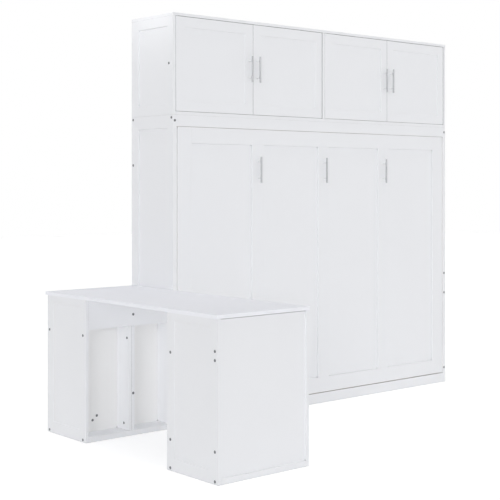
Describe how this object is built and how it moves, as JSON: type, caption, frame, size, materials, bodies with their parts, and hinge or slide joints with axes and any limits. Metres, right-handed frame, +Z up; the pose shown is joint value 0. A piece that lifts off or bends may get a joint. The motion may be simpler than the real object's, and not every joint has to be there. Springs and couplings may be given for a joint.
{
  "type": "wall bed cabinet with desk",
  "caption": "Side-folding wall bed in a white cabinet with cupboards above, and a double-pedestal desk standing against the cabinet's side.",
  "frame": {"origin": "on the floor, at the middle of the whole footprint of cabinet and desk", "axes": "+X along the cabinet to its right end, +Y from the room towards the wall, +Z up"},
  "size_m": [2.8292, 1.468, 2.256],
  "materials": {
    "white_board": "satin white paint",
    "thin_board": "satin white paint",
    "worktop": "glossy white paint",
    "timber": "planed softwood",
    "satin_steel": "satin",
    "dark_plate": "black powder coat",
    "rod": "polished",
    "leg_paint": "white powder coat",
    "screw_cap": "matt grey"
  },
  "bodies": {
    "cabinet_and_desk": {"lower_left_side": "white_board", "lower_right_side": "white_board", "plinth": "white_board", "header_rail": "white_board", "lower_top_board": "white_board", "rear_top_rail": "white_board", "rear_floor_rail": "white_board", "upper_left_side": "white_board", "upper_right_side": "white_board", "upper_top_board": "white_board", "upper_bottom_board": "white_board", "upper_divider": "white_board", "upper_back_panels": "thin_board", "door_pivot_pins": "satin_steel", "cabinet_hinge_plates": "dark_plate", "screw_caps": "screw_cap", "desk_worktop": "worktop", "near_left_side": "white_board", "near_right_side": "white_board", "near_end_panel": "white_board", "near_kneehole_rail": "white_board", "near_divider": "white_board", "near_inner_back": "thin_board", "near_bottom": "white_board", "far_left_side": "white_board", "far_right_side": "white_board", "far_wall_panel": "thin_board", "far_kneehole_rail": "white_board", "far_divider": "white_board", "far_inner_back": "thin_board", "far_bottom": "white_board"},
    "bed": {"bed_front_stiles": "white_board", "bed_front_rails": "white_board", "bed_front_mullions": "white_board", "bed_front_panels": "thin_board", "bed_hinge_rail": "timber", "bed_free_rail": "timber", "bed_head_end": "timber", "bed_foot_end": "timber", "slat_bearers": "timber", "bed_slats": "timber", "bed_centre_beam": "timber", "bed_handles": "satin_steel", "bed_hinge_plates": "dark_plate", "leg_studs": "satin_steel"},
    "left_outer_door": {"left_outer_door": "white_board", "left_outer_handle": "satin_steel"},
    "left_inner_door": {"left_inner_door": "white_board", "left_inner_handle": "satin_steel"},
    "right_inner_door": {"right_inner_door": "white_board", "right_inner_handle": "satin_steel"},
    "right_outer_door": {"right_outer_door": "white_board", "right_outer_handle": "satin_steel"},
    "left_leg": {"left_leg": "leg_paint"},
    "left_strut_cylinder": {"left_strut_cylinder": "dark_plate"},
    "left_strut_rod": {"left_strut_rod": "rod"},
    "right_leg": {"right_leg": "leg_paint"},
    "right_strut_cylinder": {"right_strut_cylinder": "dark_plate"},
    "right_strut_rod": {"right_strut_rod": "rod"}
  },
  "joints": [
    {"name": "bed_fold", "type": "hinge", "parent": "cabinet_and_desk", "child": "bed", "pos_m": [0.2794, 0.402, 0.34], "axis": [1, 0, 0], "range_deg": [0, 90], "stiffness_Nm_per_rad": 190, "springref_deg": -5.73},
    {"name": "left_leg_swing", "type": "hinge", "parent": "bed", "child": "left_leg", "pos_m": [-0.8245, 0.402, 1.59], "axis": [1, 0, 0], "range_deg": [-90, 0]},
    {"name": "left_strut_swing", "type": "hinge", "parent": "cabinet_and_desk", "child": "left_strut_cylinder", "pos_m": [-0.8096, 0.422, 0.56], "axis": [1, 0, 0], "range_deg": [0, 24.41]},
    {"name": "left_strut_slide", "type": "slide", "parent": "left_strut_cylinder", "child": "left_strut_rod", "axis": [0, 0.0596, -0.9982], "range_m": [-0.13207, 0]},
    {"name": "right_leg_swing", "type": "hinge", "parent": "bed", "child": "right_leg", "pos_m": [1.3833, 0.402, 1.59], "axis": [1, 0, 0], "range_deg": [-90, 0]},
    {"name": "right_strut_swing", "type": "hinge", "parent": "cabinet_and_desk", "child": "right_strut_cylinder", "pos_m": [1.3684, 0.422, 0.56], "axis": [1, 0, 0], "range_deg": [0, 24.41]},
    {"name": "right_strut_slide", "type": "slide", "parent": "right_strut_cylinder", "child": "right_strut_rod", "axis": [0, 0.0596, -0.9982], "range_m": [-0.13207, 0]},
    {"name": "left_outer_door_hinge", "type": "hinge", "parent": "cabinet_and_desk", "child": "left_outer_door", "pos_m": [-0.8251, 0.351, 1.9795], "axis": [0, 0, -1], "range_deg": [0, 100]},
    {"name": "left_inner_door_hinge", "type": "hinge", "parent": "cabinet_and_desk", "child": "left_inner_door", "pos_m": [0.2589, 0.351, 1.9795], "axis": [0, 0, 1], "range_deg": [0, 86]},
    {"name": "right_inner_door_hinge", "type": "hinge", "parent": "cabinet_and_desk", "child": "right_inner_door", "pos_m": [0.2999, 0.351, 1.9795], "axis": [0, 0, -1], "range_deg": [0, 86]},
    {"name": "right_outer_door_hinge", "type": "hinge", "parent": "cabinet_and_desk", "child": "right_outer_door", "pos_m": [1.3839, 0.351, 1.9795], "axis": [0, 0, 1], "range_deg": [0, 100]}
  ],
  "couplings": [
    {"joint": "left_leg_swing", "follows": "bed_fold", "ratio": -1},
    {"joint": "left_strut_swing", "follows": "bed_fold", "ratio": 0.2712},
    {"joint": "left_strut_slide", "follows": "bed_fold", "m_per_rad": -0.084075},
    {"joint": "right_leg_swing", "follows": "bed_fold", "ratio": -1},
    {"joint": "right_strut_swing", "follows": "bed_fold", "ratio": 0.2712},
    {"joint": "right_strut_slide", "follows": "bed_fold", "m_per_rad": -0.084075}
  ]
}
